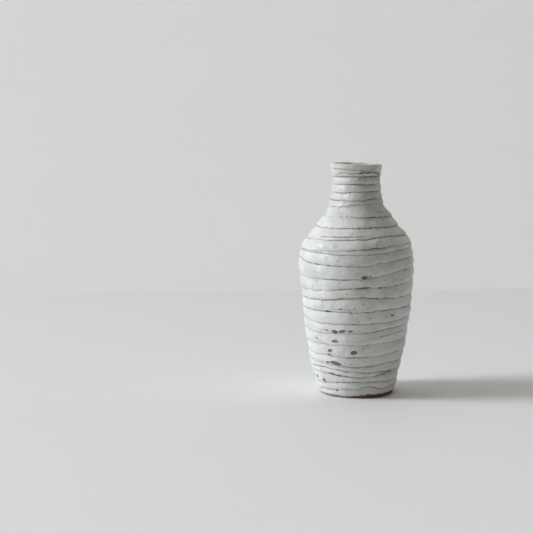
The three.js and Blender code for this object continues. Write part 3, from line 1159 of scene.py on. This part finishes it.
def slab_finish():
    paper = Paper("bare clay foot under white glaze")
    place = paper.millimetres()
    colour, bare, lines, relief = glaze_layers(paper, place)
    ragged = paper.noise(place, 0.8, 3, 0.6)
    up = paper.attribute("glaze_mm") + (ragged - 0.5) * 0.5
    glazed = paper.ramp(up, -0.12, 0.12)
    foot_darkening = paper.attribute("foot_darkening")
    clay = paper.mix(foot_darkening, CLAY_PALE, clay_colour(paper, place))
    # Painted shade where the foot stands on the table: the bare clay darkens towards the bottom, most on
    # the dark side of the foot.
    clay = paper.mix(paper.ramp(up, -1.8, 0.2, 0.65, 0.1) * foot_darkening, clay, CLAY_DARK)
    colour = paper.mix(paper.ramp(up, 0.4, 0.0) * 0.5, colour, EDGE_GREY)
    colour = paper.mix(glazed, clay, colour)
    rough = paper.ramp(glazed - bare, 0.0, 1.0, 0.85, 0.42)
    relief = relief + glazed * 0.5
    return finish_surface(paper, colour, rough, relief)


FOOT = slab_finish()
print("foot nodes:", len(FOOT.node_tree.nodes))

# %% [markdown]
# ## The base slab
#
# The slab is a disc cut from rolled clay: a cylinder at its size and place. Bisecting it at
# a row of heights gives its side enough rings, and a few insets give its two faces theirs.
# Then it is pressed like a coil, with a worn edge below and the first seam above. The glaze
# ends on it in a small ledge.

# %% Cut the slab and press it
WORN_EDGE = 0.6  # mm
GLAZE_LEDGE = 0.25  # mm
INSETS = (0.4, 1.2, 2.0, 3.0, 3.0)  # mm from the edge of the slab inwards, one after another
FLOOR_START = 7.0  # mm from the edge, where the flat floor inside the vase starts
GROUND = {name: np.zeros(STEPS) for name in ("height", "crisp", "line", "groove", "heel")}


def cut_slab(radius, thick):
    bpy.ops.object.select_all(action="DESELECT")
    bpy.ops.mesh.primitive_cylinder_add(
        vertices=STEPS,
        radius=radius * MM,
        depth=thick * MM,
        location=(0, 0, thick / 2 * MM),
        end_fill_type="TRIFAN",
    )
    slab = bpy.context.object
    slab.name = "base_slab_clay"
    bpy.ops.object.transform_apply(location=True, rotation=True, scale=True)
    bpy.ops.object.mode_set(mode="EDIT")
    bpy.ops.mesh.select_mode(type="FACE")
    for share in skin_stations(thick)[1:-1]:
        bpy.ops.mesh.select_all(action="SELECT")
        bpy.ops.mesh.bisect(plane_co=(0, 0, share * thick * MM), plane_no=(0, 0, 1))
    for side in (-1, 1):
        bpy.ops.mesh.select_all(action="DESELECT")
        bpy.ops.object.mode_set(mode="OBJECT")
        for polygon in slab.data.polygons:
            polygon.select = polygon.normal.z * side > 0.9
        bpy.ops.object.mode_set(mode="EDIT")
        for inset in INSETS:
            bpy.ops.mesh.inset(thickness=inset * MM)
    bpy.ops.object.mode_set(mode="OBJECT")
    return slab


def press_slab(push):
    radius, thick = float(outline(3)), float(TOPS[SLAB].mean())
    slab = cut_slab(radius, thick)
    direction, reach, up = polar(mesh_points(slab.data))
    top_seam = SEAMS[SLAB]
    side = reach > radius - 0.05
    on_top = ~side & (up > thick / 2)
    skin_r, skin_z = skin_at(GROUND, top_seam, push, up / thick, direction)
    worn = np.clip(1 - skin_z / WORN_EDGE, 0, 1) ** 2 * WORN_EDGE
    ledge = GLAZE_LEDGE * ease(0.2, -0.1, skin_z - at(glaze_edge, direction))
    skin_r = skin_r - worn - ledge
    joint_r = at(joint_radius(top_seam), direction)
    joint_z = at(top_seam["height"], direction)
    inwards = reach / (radius - INSETS[0])
    floor = ease(FLOOR_START, FLOOR_START + 2, radius - reach)
    foot_r = at(foot_radius(push), direction)
    height = np.where(side, skin_z, np.where(on_top, joint_z + floor * (thick - joint_z), 0))
    spread = np.where(side, skin_r, inwards * np.where(on_top, joint_r, foot_r - INSETS[0]))
    move_points(slab.data, direction, spread, height)
    mark_surface(slab.data, direction, height, side, GROUND, top_seam)
    store(slab.data, "foot_darkening", at(through(FOOT_DARKENING, 10), direction))
    store(slab.data, "glaze_mm", np.where(side, height - at(glaze_edge, direction), -OUT_OF_REACH))
    return slab, np.flatnonzero(side & (up > 0.2))


def foot_radius(push):
    return outline(0) - WORN_EDGE - GLAZE_LEDGE + push


print("the slab's face is inset", len(INSETS), "times")

# %% [markdown]
# ## Building the vase
#
# Now the pieces are made from the foot up. Each rides on the one body of the frame and stands for its
# plain solid, which is hidden; the slab takes the foot's finish and every coil the glaze. The tilted
# empty is not part of the vase, so it is removed once the last dent is made.

# %% Make every piece
def new_push():
    """How far a coil stands out all round: slow waves and its own small share."""
    return 0.16 * wave(1, 5) + 0.1 * dice.normal()


def hand_over(piece, node, finish):
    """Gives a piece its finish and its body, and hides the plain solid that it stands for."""
    piece.data.materials.clear()
    piece.data.materials.append(finish)
    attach(piece, "root")
    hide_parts(node)


slab, slab_skin = press_slab(new_push())
dent(slab, slab_skin)
hand_over(slab, SLAB, FOOT)
for below, name in zip(COILS, COILS[1:]):
    low_seam = SEAMS[below]
    high_seam = LIP if name == RIM else SEAMS[name]
    push = new_push()
    section = rim_section(low_seam, push) if name == RIM else coil_section(low_seam, high_seam, push)
    coil, coil_skin = press_ring(name + "_glazed", section, low_seam, high_seam)
    dent(coil, coil_skin)
    hand_over(coil, name, GLAZE)
bpy.data.objects.remove(tilted)
